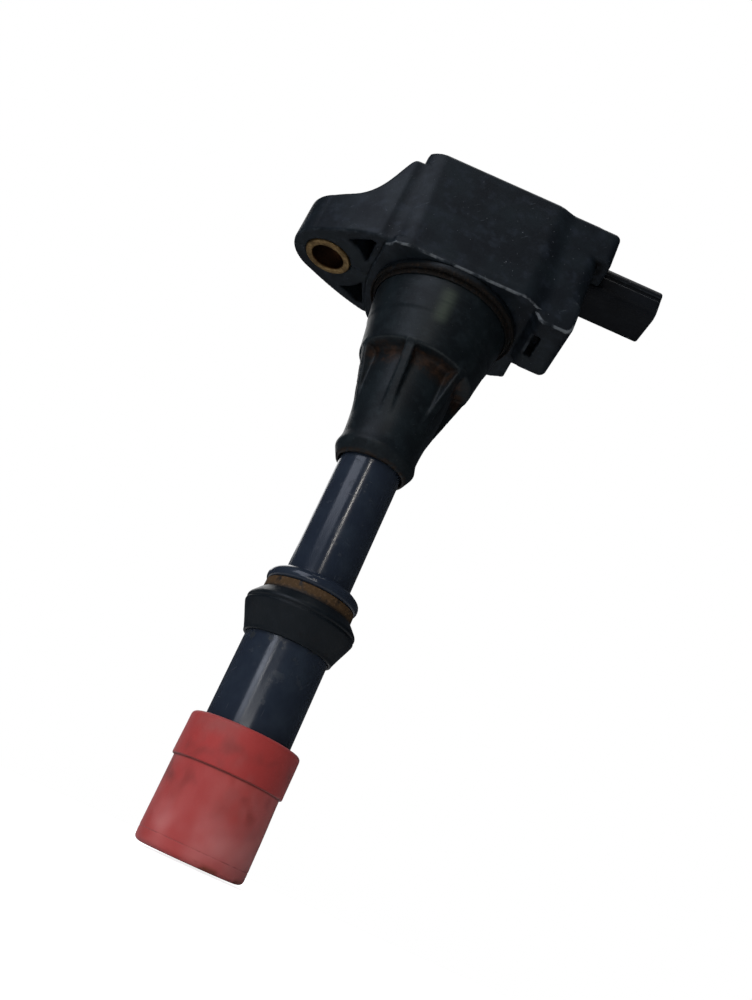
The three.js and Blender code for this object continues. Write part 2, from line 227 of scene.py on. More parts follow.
def wearAndShadeMarks(distance, points):
    # edge: how sharply the surface turns outward, from the sum of second differences of the distance.
    # hollow: one less the distance at a point lifted off along the normal, over that lift; it sets where
    # dirt and painted shade go.
    wide, lift, sharp = 0.35, 2.0, 0.6
    shifts = np.eye(3) * wide
    here = distance(*points.T)
    bend = sum(distance(*(points + s).T) + distance(*(points - s).T) - 2 * here for s in shifts) / wide ** 2
    slope = slopeOf(distance, points, 0.05)
    normal = slope / np.maximum(np.linalg.norm(slope, axis=1, keepdims=True), 1e-6)
    lifted = distance(*(points + normal * lift).T)
    return {"edge": np.clip(bend * sharp, 0, 1), "hollow": np.clip(1 - lifted / lift, 0, 1)}


def linear(hexColour):
    # an sRGB hex colour as linear light
    parts = np.array([int(hexColour[i:i + 2], 16) for i in (1, 3, 5)]) / 255
    light = np.where(parts <= 0.04045, parts / 12.92, ((parts + 0.055) / 1.055) ** 2.4)
    return (*light.tolist(), 1.0)


def addNode(tree, kind, settings=None, inputs=None):
    # settings are the node's own properties; inputs are values, or outputs to link
    node = tree.nodes.new(kind)
    for name, value in (settings or {}).items():
        setattr(node, name, value)
    for name, value in (inputs or {}).items():
        if isinstance(value, bpy.types.NodeSocket):
            tree.links.new(value, node.inputs[name])
        else:
            node.inputs[name].default_value = linear(value) if isinstance(value, str) else value
    return node


def newMaterial(name, inputs):
    # a material with one Principled shader, and the object's own coordinates in millimetres
    material = bpy.data.materials.new(name)
    material.use_nodes = True
    tree = material.node_tree
    tree.nodes.clear()
    shader = addNode(tree, "ShaderNodeBsdfPrincipled", inputs=inputs)
    addNode(tree, "ShaderNodeOutputMaterial", inputs={"Surface": shader.outputs[0]})
    place = addNode(tree, "ShaderNodeTexCoord").outputs["Object"]
    place = addNode(tree, "ShaderNodeVectorMath", {"operation": "SCALE"},
                    {0: place, "Scale": 1000.0}).outputs[0]
    return material, tree, shader, place


def patches(tree, place, grain, low, high, stretch=(1, 1, 1), detail=3.0, within=None):
    # a mask of blotches about grain millimetres wide; stretch makes them long along an axis
    if stretch != (1, 1, 1):
        shrink = tuple(1 / s for s in stretch)
        place = addNode(tree, "ShaderNodeMapping", {}, {"Vector": place, "Scale": shrink}).outputs[0]
    noise = addNode(tree, "ShaderNodeTexNoise", {}, {"Vector": place, "Scale": 1 / grain, "Detail": detail})
    mask = addNode(tree, "ShaderNodeMapRange", {"interpolation_type": "SMOOTHSTEP"},
                   {0: noise.outputs[0], 1: low, 2: high}).outputs[0]
    if within is None:
        return mask
    return addNode(tree, "ShaderNodeMath", {"operation": "MULTIPLY"}, {0: mask, 1: within}).outputs[0]


def band(tree, value, low, high, fade, within=None):
    # a mask that is 1 where a value lies from low to high, with both ends faded
    rise = addNode(tree, "ShaderNodeMapRange", {"interpolation_type": "SMOOTHSTEP"},
                   {0: value, 1: low - fade, 2: low + fade}).outputs[0]
    fall = addNode(tree, "ShaderNodeMapRange", {"interpolation_type": "SMOOTHSTEP"},
                   {0: value, 1: high + fade, 2: high - fade}).outputs[0]
    mask = addNode(tree, "ShaderNodeMath", {"operation": "MULTIPLY"}, {0: rise, 1: fall}).outputs[0]
    if within is None:
        return mask
    return addNode(tree, "ShaderNodeMath", {"operation": "MULTIPLY"}, {0: mask, 1: within}).outputs[0]


def lay(tree, ground, layers):
    # each (mask, colour or number) in turn covers what is under it as far as its mask says
    numbers = isinstance(ground, float)
    kind, a, b, out = ("FLOAT", 2, 3, 0) if numbers else ("RGBA", 6, 7, 2)
    for mask, value in layers:
        mix = addNode(tree, "ShaderNodeMix", {"data_type": kind}, {0: mask, a: ground, b: value})
        ground = mix.outputs[out]
    return ground


def addRelief(tree, shader, heights):
    # heights are (height from 0 to 1, depth in millimetres), each laid over the last
    normal = None
    for height, depth in heights:
        inputs = {"Height": height, "Distance": depth * millimetre}
        if normal:
            inputs["Normal"] = normal
        normal = addNode(tree, "ShaderNodeBump", {}, inputs).outputs[0]
    tree.links.new(normal, shader.inputs["Normal"])


def polar(tree, place):
    # height and distance from the plug axis
    split = addNode(tree, "ShaderNodeSeparateXYZ", {}, {0: place})
    flat = addNode(tree, "ShaderNodeVectorMath", {"operation": "MULTIPLY"},
                   {0: place, 1: (1, 1, 0)}).outputs[0]
    radius = addNode(tree, "ShaderNodeVectorMath", {"operation": "LENGTH"}, {0: flat}).outputs["Value"]
    return split.outputs, radius


def moulded(name, look):
    # Glass-filled PBT, injection moulded. A satin black with a slight blue cast; fine sparkle of the mould
    # grain, pale rubbed edges, hair scratches, and dirt and painted shade in the corners and hollows.
    material, tree, shader, place = newMaterial(name, {"IOR": 1.5, "Specular IOR Level": look["gloss"]})
    edge = addNode(tree, "ShaderNodeAttribute", {"attribute_name": "edge"}).outputs["Fac"]
    hollow = addNode(tree, "ShaderNodeAttribute", {"attribute_name": "hollow"}).outputs["Fac"]
    edge = addNode(tree, "ShaderNodeMapRange", {}, {0: edge, 1: 0.6, 2: 1.0}).outputs[0]
    hollow = addNode(tree, "ShaderNodeMapRange", {}, {0: hollow, 1: 0.25, 2: 0.7}).outputs[0]
    axes, radius = polar(tree, place)
    cloud = patches(tree, place, 7.0, 0.35, 0.7, detail=6.0)
    smudge = patches(tree, place, 2.2, 0.46, 0.78, detail=5.0)
    outer = addNode(tree, "ShaderNodeMath", {"operation": "ABSOLUTE"}, {0: axes[1]}).outputs[0]
    outer = band(tree, outer, look["wornFrom"], 40.0, 0.3)
    worn = band(tree, axes[2], *look["worn"], 0.3, within=outer)
    worn = addNode(tree, "ShaderNodeMath", {"operation": "MULTIPLY"}, {0: edge, 1: worn}).outputs[0]
    rubbed = patches(tree, place, 2.6, 0.35, 0.58, detail=5.0, within=worn)
    dulled = patches(tree, place, 3.0, 0.4, 0.7, within=edge)
    speck = patches(tree, place, 0.4, 0.75, 0.82, detail=1.0)
    tilted = addNode(tree, "ShaderNodeMapping", {},
                     {"Vector": place, "Rotation": (0.3, 0.75, 0.4)}).outputs[0]
    scratch = patches(tree, tilted, 0.5, 0.71, 0.78, stretch=(12, 2, 1), detail=2.0)
    # grime: near-black dirt and painted shade, laid where the hollow mark says the surface is shut in
    grime = patches(tree, place, 2.0, 0.25, 0.8, within=hollow)
    colour = lay(tree, look["colour"], [(cloud, look["cloud"]), (smudge, look["smudge"]),
                                        (scratch, look["scratch"]),
                                        (grime, look["grime"]), (speck, look["speck"]),
                                        (dulled, look["scratch"]), (rubbed, look["rubbed"])])
    extra = look.get("extra")
    if extra:
        colour = extra(tree, place, axes, radius, hollow, colour)
    tree.links.new(colour, shader.inputs["Base Color"])
    rough = lay(tree, look["rough"], [(cloud, look["rough"] - 0.07), (grime, 0.8), (rubbed, 0.45),
                                      (scratch, 0.4)])
    tree.links.new(rough, shader.inputs["Roughness"])
    fine = addNode(tree, "ShaderNodeTexNoise", {},
                   {"Vector": place, "Scale": 3.0, "Detail": 4.0}).outputs[0]
    addRelief(tree, shader, [(fine, 0.03), (scratch, 0.02)])
    return material


def towerDirt(tree, place, axes, radius, hollow, colour):
    # rust-brown dirt under the shoulder, a worn greenish patch on the cone, and a brown line at the neck
    under = band(tree, axes[2], 101.6, 105.6, 1.6)
    deep = addNode(tree, "ShaderNodeMapRange", {}, {0: radius, 1: 12.4, 2: 10.6}).outputs[0]
    under = addNode(tree, "ShaderNodeMath", {"operation": "MULTIPLY"}, {0: under, 1: deep}).outputs[0]
    rust = patches(tree, place, 3.4, 0.34, 0.62, within=under)
    spot = patches(tree, place, 1.7, 0.42, 0.7, within=rust)
    neck = band(tree, axes[2], 80.0, 81.0, 0.35)
    neck = patches(tree, place, 1.2, 0.3, 0.6, within=neck)
    rings = band(tree, axes[2], 107.0, 119.0, 1.0)
    rings = patches(tree, place, 0.5, 0.56, 0.85, stretch=(14, 14, 1), within=rings)
    cone = band(tree, axes[2], 111.0, 118.0, 1.2)
    side = addNode(tree, "ShaderNodeMath", {"operation": "ARCTAN2"}, {0: axes[1], 1: axes[0]}).outputs[0]
    side = band(tree, side, math.radians(-94), math.radians(-84), math.radians(5), within=cone)
    worn = patches(tree, place, 0.9, 0.12, 0.62, stretch=(9, 9, 1), within=side)
    return lay(tree, colour, [(rust, "#251c16"), (spot, "#37281f"), (neck, "#261e18"), (rings, "#23292b"),
                              (worn, "#3b433a")])


def tubeResin(name):
    # Phenolic tube, wound and ground to a gloss. Near black with a navy cast, so that it shows sharp
    # upright streaks, dulled by scuffs and hair scratches.
    material, tree, shader, place = newMaterial(name, {"IOR": 1.6, "Specular IOR Level": 0.2})
    scuff = patches(tree, place, 2.4, 0.58, 0.78, detail=5.0)
    hair = patches(tree, place, 0.45, 0.7, 0.76, stretch=(1, 1, 16), detail=2.0)
    ring = patches(tree, place, 0.5, 0.73, 0.78, stretch=(9, 9, 1), detail=2.0)
    dust = patches(tree, place, 5.0, 0.4, 0.75)
    split = addNode(tree, "ShaderNodeSeparateXYZ", {}, {0: place}).outputs[2]
    dirt = patches(tree, place, 1.4, 0.52, 0.74, detail=6.0, within=band(tree, split, 38.0, 42.0, 2.0))
    colour = lay(tree, "#252c37", [(dust, "#2b333d"), (scuff, "#2f353d"), (hair, "#3f444b"),
                                   (ring, "#3b3f45"), (dirt, "#2a2d2c")])
    tree.links.new(colour, shader.inputs["Base Color"])
    rough = lay(tree, 0.16, [(dust, 0.22), (scuff, 0.42), (hair, 0.45), (ring, 0.45), (dirt, 0.6)])
    tree.links.new(rough, shader.inputs["Roughness"])
    ripple = addNode(tree, "ShaderNodeMapping", {}, {"Vector": place, "Scale": (1.0, 1.0, 0.06)}).outputs[0]
    ripple = addNode(tree, "ShaderNodeTexNoise", {},
                     {"Vector": ripple, "Scale": 0.9, "Detail": 2.0}).outputs[0]
    addRelief(tree, shader, [(ripple, 0.012), (hair, 0.01), (ring, 0.012)])
    return material


def sealRubber(name, look):
    # EPDM rubber, moulded. Deep black with a soft sheen along its lips, dusty flanks, and brown grime where
    # oil has dried against it.
    material, tree, shader, place = newMaterial(name, {"IOR": 1.52, "Specular IOR Level": 0.14})
    axes, radius = polar(tree, place)
    dust = patches(tree, place, 3.0, 0.42, 0.72)
    fleck = patches(tree, place, 0.35, 0.72, 0.78)
    grime = patches(tree, place, 1.4, 0.22, 0.48, within=band(tree, axes[2], *look["grimeBand"]))
    crumb = patches(tree, place, 0.5, 0.5, 0.7, within=grime)
    stain = patches(tree, place, 2.5, 0.55, 0.75)
    colour = lay(tree, "#10161a", [(dust, "#161b1f"), (stain, look["stain"]), (fleck, "#242628"),
                                   (grime, look["grime"]), (crumb, look["crumb"])])
    tree.links.new(colour, shader.inputs["Base Color"])
    rough = lay(tree, 0.38, [(dust, 0.5), (grime, 0.85)])
    tree.links.new(rough, shader.inputs["Roughness"])
    fine = addNode(tree, "ShaderNodeTexNoise", {},
                   {"Vector": place, "Scale": 2.5, "Detail": 4.0}).outputs[0]
    addRelief(tree, shader, [(fine, 0.03), (crumb, 0.05)])
    return material


def siliconeRed(name):
    # Silicone rubber, compression moulded, once bright red. Chalky pink dust fades it, with a painted
    # highlight in the dust low down, oil stains darken it, painted shade darkens a band under the collar,
    # and there is a brown scorch at the mouth.
    material, tree, shader, place = newMaterial(name, {
        "IOR": 1.43, "Specular IOR Level": 0.35, "Sheen Weight": 0.12, "Sheen Roughness": 0.5,
        "Subsurface Weight": 0.08, "Subsurface Radius": (0.9, 0.25, 0.2), "Subsurface Scale": 0.001})
    axes, radius = polar(tree, place)
    low = band(tree, axes[2], -1.0, 15.3, 0.2)
    chalk = patches(tree, place, 12.0, 0.3, 0.72, stretch=(1, 1, 1.6), within=low)
    bright = patches(tree, place, 8.0, 0.45, 0.8, stretch=(1, 1, 1.3))
    grey = patches(tree, place, 9.0, 0.5, 0.8, stretch=(1, 1, 1.3))
    # a pale pink band low down: settled dust and a painted highlight
    lowDustAndHighlight = band(tree, axes[2], 1.5, 7.0, 4.0)
    lowDustAndHighlight = patches(tree, place, 10.0, 0.38, 0.72, detail=2.0, within=lowDustAndHighlight)
    stain = patches(tree, place, 4.6, 0.5, 0.8, detail=1.5, within=band(tree, axes[2], 9.0, 21.0, 2.5))
    # a darker red band under the collar's overhang: painted shade
    shadeUnderCollar = band(tree, axes[2], 15.05, 15.4, 0.15)
    scorch = band(tree, axes[2], -1.0, 0.7, 0.6)
    scorch = patches(tree, place, 3.6, 0.5, 0.64, within=scorch)
    seam = band(tree, axes[2], 2.35, 2.5, 0.08)
    seam = patches(tree, place, 2.0, 0.35, 0.6, within=seam)
    colour = lay(tree, "#ab3935", [(chalk, "#bb5f5a"), (bright, "#b33d38"), (grey, "#9e544f"),
                                   (lowDustAndHighlight, "#cb7874"), (stain, "#8a3631"), (shadeUnderCollar, "#752e2a"),
                                   (scorch, "#7a3b20"), (seam, "#9a4c49")])
    tree.links.new(colour, shader.inputs["Base Color"])
    rough = lay(tree, 0.6, [(chalk, 0.72), (stain, 0.48), (grey, 0.7)])
    tree.links.new(rough, shader.inputs["Roughness"])
    fine = addNode(tree, "ShaderNodeTexNoise", {},
                   {"Vector": place, "Scale": 2.2, "Detail": 5.0}).outputs[0]
    addRelief(tree, shader, [(fine, 0.05), (stain, 0.03)])
    return material


def metalFinish(name, look):
    # Bare or plated metal. A metal shows its colour in its reflections; turning or drawing marks run round
    # or along it, and oxide darkens it in patches.
    material, tree, shader, place = newMaterial(name, {"Metallic": 1.0})
    tarnish = patches(tree, place, look["patch"], 0.42, 0.7)
    lines = patches(tree, place, look["line"], 0.35, 0.65, stretch=look["stretch"], detail=2.0)
    layers = [(lines, look["mark"]), (tarnish, look["tarnish"])]
    if "bore" in look:
        flat = addNode(tree, "ShaderNodeMapping", {}, {"Vector": place, "Location": look["bore"][:3],
                                                       "Scale": (1, 1, 0)}).outputs[0]
        reachOut = addNode(tree, "ShaderNodeVectorMath", {"operation": "LENGTH"},
                           {0: flat}).outputs["Value"]
        inner = band(tree, reachOut, -1.0, look["bore"][3], 0.15)
        layers.append((inner, look["boreColour"]))
    tree.links.new(lay(tree, look["colour"], layers), shader.inputs["Base Color"])
    rough = lay(tree, look["rough"], [(lines, look["rough"] + 0.08), (tarnish, look["rough"] + 0.18)])
    tree.links.new(rough, shader.inputs["Roughness"])
    addRelief(tree, shader, [(lines, 0.012)])
    return material


def innerFinish(name, look):
    # Hidden parts: moulded, fired or wound, with the grain, layers or turns that each one has.
    material, tree, shader, place = newMaterial(name, {"Metallic": look.get("metal", 0.0)})
    cloud = patches(tree, place, look["patch"], 0.35, 0.7)
    layers = [(cloud, look["cloud"])]
    heights = [(cloud, 0.02)]
    if "layer" in look:
        # laminations or turns of wire: bright and dark lines across one axis
        axis, pitch = look["layer"]
        split = addNode(tree, "ShaderNodeSeparateXYZ", {}, {0: place}).outputs[axis]
        turns = addNode(tree, "ShaderNodeMath", {"operation": "MULTIPLY"},
                        {0: split, 1: 2 * math.pi / pitch}).outputs[0]
        wave = addNode(tree, "ShaderNodeMath", {"operation": "SINE"}, {0: turns}).outputs[0]
        wave = addNode(tree, "ShaderNodeMapRange", {}, {0: wave, 1: -1.0, 2: 1.0}).outputs[0]
        groove = addNode(tree, "ShaderNodeMapRange", {}, {0: wave, 1: 0.35, 2: 0.0}).outputs[0]
        layers.append((groove, look["groove"]))
        heights.append((wave, pitch * 0.3))
    tree.links.new(lay(tree, look["colour"], layers), shader.inputs["Base Color"])
    rough = lay(tree, look["rough"], [(cloud, look["rough"] + 0.12)])
    tree.links.new(rough, shader.inputs["Roughness"])
    addRelief(tree, shader, heights)
    return material


# each grime colour below is near-black dirt and painted shade for corners and recesses
casePlastic = moulded("glass-filled PBT, head", {
    "colour": "#11161b", "cloud": "#1b2226", "smudge": "#22282f", "scratch": "#30363b", "grime": "#090908",
    "speck": "#666a6d", "rubbed": "#6f7477", "rough": 0.5, "gloss": 0.1, "worn": (119.8, 122.85),
    "wornFrom": 13.6})
towerPlastic = moulded("glass-filled PBT, tower", {
    "colour": "#13181b", "cloud": "#1b2225", "smudge": "#20272a", "scratch": "#2a3032", "grime": "#0b0907",
    "speck": "#4c4e4e", "rubbed": "#2a2f30", "rough": 0.46, "gloss": 0.13, "worn": (104.0, 106.0),
    "wornFrom": 0.0, "extra": towerDirt})
shroudPlastic = moulded("glass-filled PBT, connector", {
    "colour": "#0c0e12", "cloud": "#111418", "smudge": "#14171b", "scratch": "#1d2024", "grime": "#070706",
    "speck": "#2c2e30", "rubbed": "#24272b", "rough": 0.5, "gloss": 0.08, "worn": (139.0, 148.0),
    "wornFrom": 0.0})
phenolic = tubeResin("ground phenolic tube")
sealBlack = sealRubber("moulded EPDM, tube seal", {
    "grimeBand": (49.4, 52.4, 0.6), "stain": "#14171a", "grime": "#4d3a25", "crumb": "#5f4a35"})
wellBlack = sealRubber("moulded EPDM, well seal", {
    "grimeBand": (119.5, 121.2, 0.5), "stain": "#141312", "grime": "#15120f", "crumb": "#2a2119"})
bootRed = siliconeRed("dusty silicone rubber")
turnedBrass = metalFinish("turned brass, patinated", {
    "colour": "#937c56", "mark": "#7f6845", "tarnish": "#5e4c33", "patch": 2.5, "line": 0.4,
    "stretch": (1, 1, 1), "rough": 0.5, "bore": (28.2, 0.0, 0.0, 3.75), "boreColour": "#3a2210"})
contactBrass = metalFinish("stamped brass", {
    "colour": "#c9a660", "mark": "#b8944f", "tarnish": "#96713a", "patch": 2.0, "line": 0.3,
    "stretch": (1, 1, 6), "rough": 0.3})
tinnedBrass = metalFinish("tin-plated brass", {
    "colour": "#c8c6be", "mark": "#b5b2a8", "tarnish": "#94918a", "patch": 1.5, "line": 0.2,
    "stretch": (8, 1, 1), "rough": 0.28})
springWire = metalFinish("drawn stainless wire", {
    "colour": "#b4b3b0", "mark": "#9a9996", "tarnish": "#7c7a76", "patch": 1.2, "line": 0.15,
    "stretch": (1, 1, 1), "rough": 0.3})
brushedAluminium = metalFinish("brushed aluminium", {
    "colour": "#c3c5c7", "mark": "#adb0b3", "tarnish": "#999c9f", "patch": 4.0, "line": 0.25,
    "stretch": (1, 12, 1), "rough": 0.35})
coreSteel = innerFinish("stacked silicon steel", {
    "colour": "#6a6d70", "cloud": "#55585a", "groove": "#2c2e30", "layer": (2, 0.5), "patch": 3.0,
    "rough": 0.45, "metal": 1.0})
ferrite = innerFinish("sintered ferrite", {"colour": "#303032", "cloud": "#3a3a3b", "patch": 0.6,
                                           "rough": 0.65})
bobbinPlastic = innerFinish("natural PBT, bobbin", {"colour": "#d9d2bd", "cloud": "#cbc2a8", "patch": 4.0,
                                                    "rough": 0.5})
copperTurns = innerFinish("enamelled copper wire", {
    "colour": "#a2562c", "cloud": "#8c4622", "groove": "#4a2010", "layer": (0, 0.25), "patch": 2.0,
    "rough": 0.3, "metal": 1.0})
castEpoxy = innerFinish("cast epoxy resin", {"colour": "#111214", "cloud": "#16171a", "patch": 5.0,
                                             "rough": 0.18})
moduleEpoxy = innerFinish("transfer-moulded epoxy", {"colour": "#1c1c1e", "cloud": "#242426", "patch": 1.0,
                                                     "rough": 0.6})
firedCeramic = innerFinish("fired ceramic", {"colour": "#dcd7ca", "cloud": "#cfc8b8", "patch": 1.5,
                                             "rough": 0.55})
print("materials made:", len(bpy.data.materials))


caseLow, caseHigh = reach("coil_case")
bushLow, bushHigh = reach("mounting_bush")
bushX = (bushLow[0] + bushHigh[0]) / 2
bushRadius = (bushHigh[0] - bushLow[0]) / 2
shroudLow, shroudHigh = reach("connector_shroud")
towerLow, towerHigh = reach("hv_tower")

head = {
    "left": -16.6, "right": 26.2, "halfWidth": 14.5, "bottom": 122.5, "corner": 2.8,
    "panelLeft": -12.3, "panelRight": 13.4, "panelLean": 1.8, "panelRamp": 1.3, "panelDraft": 1.3,
    "rimLength": 18.4, "rimHeight": 1.8, "rimBow": 42.0, "rimCorner": 6.5,
    "footLeft": 16.6, "footFar": 4.6, "footCorner": 1.7, "overhangBottom": 140.6,
    "earRadius": 8.3, "earBottom": 123.3, "earTop": 134.2, "earFall": 1.1, "earTurn": 118.0,
    "ledgeDrop": 3.6, "seatRadius": 6.2, "pocketRadius": 9.6, "pocketDepth": 7.0, "edge": 0.55, "pitch": 0.4,
    "wall": 1.7, "chamberEnd": 17.1, "chamberFloor": 125.0, "backRoomFloor": 128.5, "towerHole": 12.7,
    "slotLeft": 19.6, "slotRight": 21.2, "slotNear": -8.9, "slotFar": -0.5, "slotDepth": 3.2,
    "clearance": 0.2,
}


def arcPoints(radius, start, end, count, centre=0.0):
    # points on a circle about (centre, 0), between two angles in degrees
    angle = np.radians(np.linspace(start, end, count))
    return np.stack([centre + radius * np.cos(angle), radius * np.sin(angle)], 1)


def bezier(controls, count=10):
    # the sum over k of C(n, k) t^k (1-t)^(n-k) P_k
    last = len(controls) - 1
    t = np.linspace(0, 1, count)[:, None]
    shares = [math.comb(last, k) * t ** k * (1 - t) ** (last - k) for k in range(last + 1)]
    return sum(share * np.array(control) for share, control in zip(shares, controls))


def roundedPlan(u, v, low, high, corner):
    # a rectangle with round corners between two corners (u, v)
    return rounded(between(u, low[0], high[0]), between(v, low[1], high[1]), edge=corner)


earArc = arcPoints(head["earRadius"], head["earTurn"], 180, 14, bushX)
earRoot = [head["left"] - 1.5, head["halfWidth"]]
earFlank = bezier([earRoot, [bushX + 3.7, head["halfWidth"] - 1.9], earArc[0]], 12)
earPlan = np.vstack([[[head["left"] + 4, 0], [head["left"] + 4, head["halfWidth"]]], earFlank, earArc[1:]])
ledge = caseHigh[2] - head["ledgeDrop"]
ledgeEnd = head["left"] - 2
earRise = bezier([[ledgeEnd - 0.4, ledge - 0.5], [ledgeEnd - 2.2, ledge - 3.1],
                  [ledgeEnd - 3.4, head["earTop"] + 0.7], [ledgeEnd - 8.9, head["earTop"]]], 16)
earSide = np.vstack([[[caseLow[0] - 4, head["earBottom"]], [head["left"] + 4, head["earBottom"]],
                      [head["left"] + 4, ledge], [ledgeEnd + 0.9, ledge], [ledgeEnd + 0.1, ledge - 0.1]],
                      earRise,
                     [[caseLow[0] - 4, head["earTop"] - head["earFall"]]]])
pocketPlan = np.vstack([arcPoints(head["pocketRadius"], 25, 66, 8, bushX),
                        [[head["left"] - 3, head["halfWidth"] - 2.7],
                         [head["left"] - 1.8, head["halfWidth"] - 3]]])


def caseDistance(x, y, z):
    # The head: a round-cornered block, with a raised panel on each long side, a bowed rim round the tower, a
    # foot, an overhang and the bolt ear melted on, then its chambers, pockets, holes and slot cut away.
    h, top = head, caseHigh[2]
    side = np.abs(y)
    wide = h["halfWidth"]
    tall = between(z, h["bottom"], top)
    plan = roundedPlan(x, y, (h["left"], -wide), (h["right"], wide), h["corner"])
    face = side - (caseHigh[1] - h["panelDraft"] * (z - h["bottom"]) / (top - h["bottom"]))
    ramp = caseHigh[1] - wide
    panelRight = h["panelRight"] + h["panelLean"] * np.clip((top - z) / (top - h["bottom"]), 0, 1)
    spread = np.minimum(caseHigh[1] - side, ramp + 0.6) * h["panelRamp"]
    ends = between(x, h["panelLeft"], panelRight) - spread
    panel = rounded(face, ends * 0.75, edge=1.2)
    body = rounded(melt(plan, panel, 1.4), tall, edge=h["edge"])
    bow = np.sqrt((x - h["rimBow"] + h["rimLength"]) ** 2 + (y - 1.5) ** 2) - h["rimBow"]
    rimPlan = roundedPlan(x, y, (-h["rimLength"], caseLow[1] + 0.4), (h["rimLength"], caseHigh[1] - 0.4),
                          h["rimCorner"])
    flush = (side - wide - np.clip((15.4 - x) / 1.3, 0, ramp)) * 0.8
    rim = rounded(np.maximum(np.maximum(rimPlan, bow), flush),
                  between(z, h["bottom"], h["bottom"] + h["rimHeight"]), edge=0.3)
    body = melt(body, rim, 0.7)
    body = carve(body, rounded(18.6 - x, h["footFar"] - y, z - 127.0, edge=0.3), 0.5)
    slant = (h["footLeft"] + (h["bottom"] + 0.5 - z) - x) * 0.7
    foot = rounded(roundedPlan(x, z, (14.0, caseLow[2]), (h["right"], 128.5), h["footCorner"]), slant,
                   between(y, -wide, h["footFar"]), edge=0.7)
    body = np.minimum(body, foot)
    over = roundedPlan(x, y, (h["right"] - 6, -wide), (caseHigh[0], wide), 1.6)
    over = rounded(over, between(z, h["overhangBottom"], top), edge=0.7)
    body = np.minimum(body, over)
    ear = rounded(melt(outlineDistance(earPlan, x, side), panel, 1.4), outlineDistance(earSide, x, z),
                  edge=0.6)
    body = np.minimum(body, ear)
    inner = between(y, h["wall"] - wide, wide - h["wall"])
    chamber = rounded(between(x, h["left"] + h["wall"], h["chamberEnd"]), inner,
                      between(z, h["chamberFloor"], top + 4), edge=1.0)
    backRoom = rounded(between(x, 15.0, h["right"] - 1.6), inner, between(z, h["backRoomFloor"], top + 4),
                       edge=1.0)
    body = carve(body, np.minimum(chamber, backRoom), 0.5)
    fromAxis, fromBush = np.sqrt(x * x + y * y), np.sqrt((x - bushX) ** 2 + y * y)
    body = carve(body, np.maximum(fromAxis - h["towerHole"], between(z, 119.0, 127.0)), 0.4)
    body = carve(body, np.maximum(fromBush - bushRadius - 0.12, between(z, 119.0, 137.0)), 0.25)
    body = carve(body, np.maximum(fromBush - h["seatRadius"], bushHigh[2] - 0.3 - z), 0.3)
    pocket = rounded(outlineDistance(pocketPlan, x, side),
                     between(z, 119.0, h["earBottom"] + h["pocketDepth"]), edge=0.5)
    body = carve(body, pocket, 0.5)
    gap = h["clearance"]
    port = rounded(between(x, h["right"] - 3, caseHigh[0] + 3),
                   between(y, shroudLow[1] - gap, shroudHigh[1] + gap),
                   between(z, shroudLow[2] - gap, shroudHigh[2] + gap), edge=0.9)
    body = carve(body, port, 0.3)
    slot = rounded(between(x, h["slotLeft"], h["slotRight"]), between(y, h["slotNear"], h["slotFar"]),
                   between(z, 116.0, caseLow[2] + h["slotDepth"]), edge=0.4)
    return np.maximum(carve(body, slot, 0.4), np.maximum(side - caseHigh[1], z - top))


points, quads = skin(caseDistance, caseLow, caseHigh, head["pitch"])
addPiece("headCase", points, quads, casePlastic, "case_plastic", ["coil_case"],
         marks=wearAndShadeMarks(caseDistance, points))

bush = {"bevel": 0.5, "bore": 3.6}
low, high = bushLow[2], bushHigh[2]
ring = eased([(bush["bore"], low, 0.6), (bushRadius, low, bush["bevel"]), (bushRadius, high, bush["bevel"]),
              (bush["bore"], high, 0.6)])
addPiece("boltBush", *turned(ring, 96, (bushX, 0)), turnedBrass, "bush_brass", ["mounting_bush"])

shroud = {"corner": 2.1, "wall": 1.2, "cavityFrom": 31.0, "groove": 0.4, "grooveDrop": 3.0, "pitch": 0.28}


def shroudDistance(x, y, z):
    # a round-cornered sleeve along X, bored from its mouth, with a fine groove along each side
    low, high, s = shroudLow, shroudHigh, shroud
    sleeve = roundedPlan(y, z, low[1:], high[1:], s["corner"])
    body = rounded(sleeve, between(x, low[0], high[0]), edge=0.5)
    cavity = rounded(roundedPlan(y, z, low[1:] + s["wall"], high[1:] - s["wall"], 0.8),
                     between(x, s["cavityFrom"], high[0] + 5), edge=0.3)
    body = carve(body, cavity, 0.4)
    line = rounded(np.abs(np.abs(y) - high[1]) - s["groove"],
                   np.abs(z - high[2] + s["grooveDrop"]) - s["groove"], 28.5 - x, edge=0.15)
    return carve(body, line, 0.25)


points, quads = skin(shroudDistance, shroudLow, shroudHigh, shroud["pitch"])
addPiece("connectorSleeve", points, quads, shroudPlastic, "case_plastic", ["connector_shroud"],
         marks=wearAndShadeMarks(shroudDistance, points))

resinLow, resinHigh = reach("potting_resin")
resin = {"sag": 0.5, "climb": 1.2, "edge": 0.3, "pitch": 0.5}


def resinDistance(x, y, z):
    # The cured slab climbs its walls: at a distance d from them its top sags by sag (1 - e^(-d / climb)).
    wall = np.minimum(np.minimum(x - resinLow[0], resinHigh[0] - x), resinHigh[1] - np.abs(y))
    sag = resin["sag"] * (1 - np.exp(-np.maximum(wall, 0) / resin["climb"]))
    return rounded(between(x, resinLow[0], resinHigh[0]), between(y, resinLow[1], resinHigh[1]),
                   resinLow[2] - z, z - resinHigh[2] + sag, edge=resin["edge"])


addPiece("curedResin", *skin(resinDistance, resinLow, resinHigh, resin["pitch"]), castEpoxy,
         "potting_resin", ["potting_resin"])

